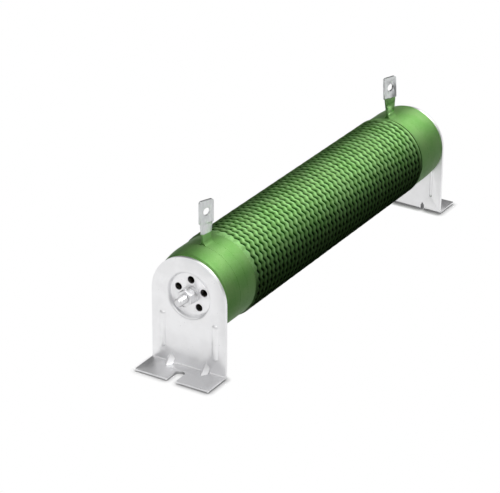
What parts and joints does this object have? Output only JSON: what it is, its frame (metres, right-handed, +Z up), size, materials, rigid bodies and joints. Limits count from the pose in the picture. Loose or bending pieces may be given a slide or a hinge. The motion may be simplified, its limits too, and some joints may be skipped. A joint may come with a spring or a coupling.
{
  "type": "corrugated wirewound resistor",
  "caption": "Tubular wirewound power resistor with a corrugated ribbon winding under a green coat, strap terminals and folded steel end brackets on a centre rod.",
  "frame": {"origin": "on the mounting surface, under the middle of the tube", "axes": "+X along the tube from the near end to the far end, +Z up from the mounting surface, +Y across the tube to the back"},
  "size_m": [0.3436, 0.06, 0.1129],
  "materials": {
    "coated_ceramic": "satin green coat on ceramic",
    "coated_ribbon": "satin green coat on resistance ribbon",
    "terminal_metal": "tinned strap, coated green round the tube",
    "bracket_zinc": "bright zinc plate",
    "gasket_fibre": "matt pale fibre",
    "rod_steel": "zinc-plated threaded rod",
    "fastener_zinc": "bright zinc plate"
  },
  "bodies": {
    "root": {"ceramic_tube": "coated_ceramic", "ribbon_winding": "coated_ribbon", "near_terminal": "terminal_metal", "far_terminal": "terminal_metal", "near_bracket": "bracket_zinc", "far_bracket": "bracket_zinc", "near_gasket": "gasket_fibre", "far_gasket": "gasket_fibre", "centre_rod": "rod_steel", "near_flat_washer": "fastener_zinc", "far_flat_washer": "fastener_zinc", "near_spring_washer": "fastener_zinc", "far_spring_washer": "fastener_zinc", "near_nut": "fastener_zinc", "far_nut": "fastener_zinc"}
  },
  "joints": []
}
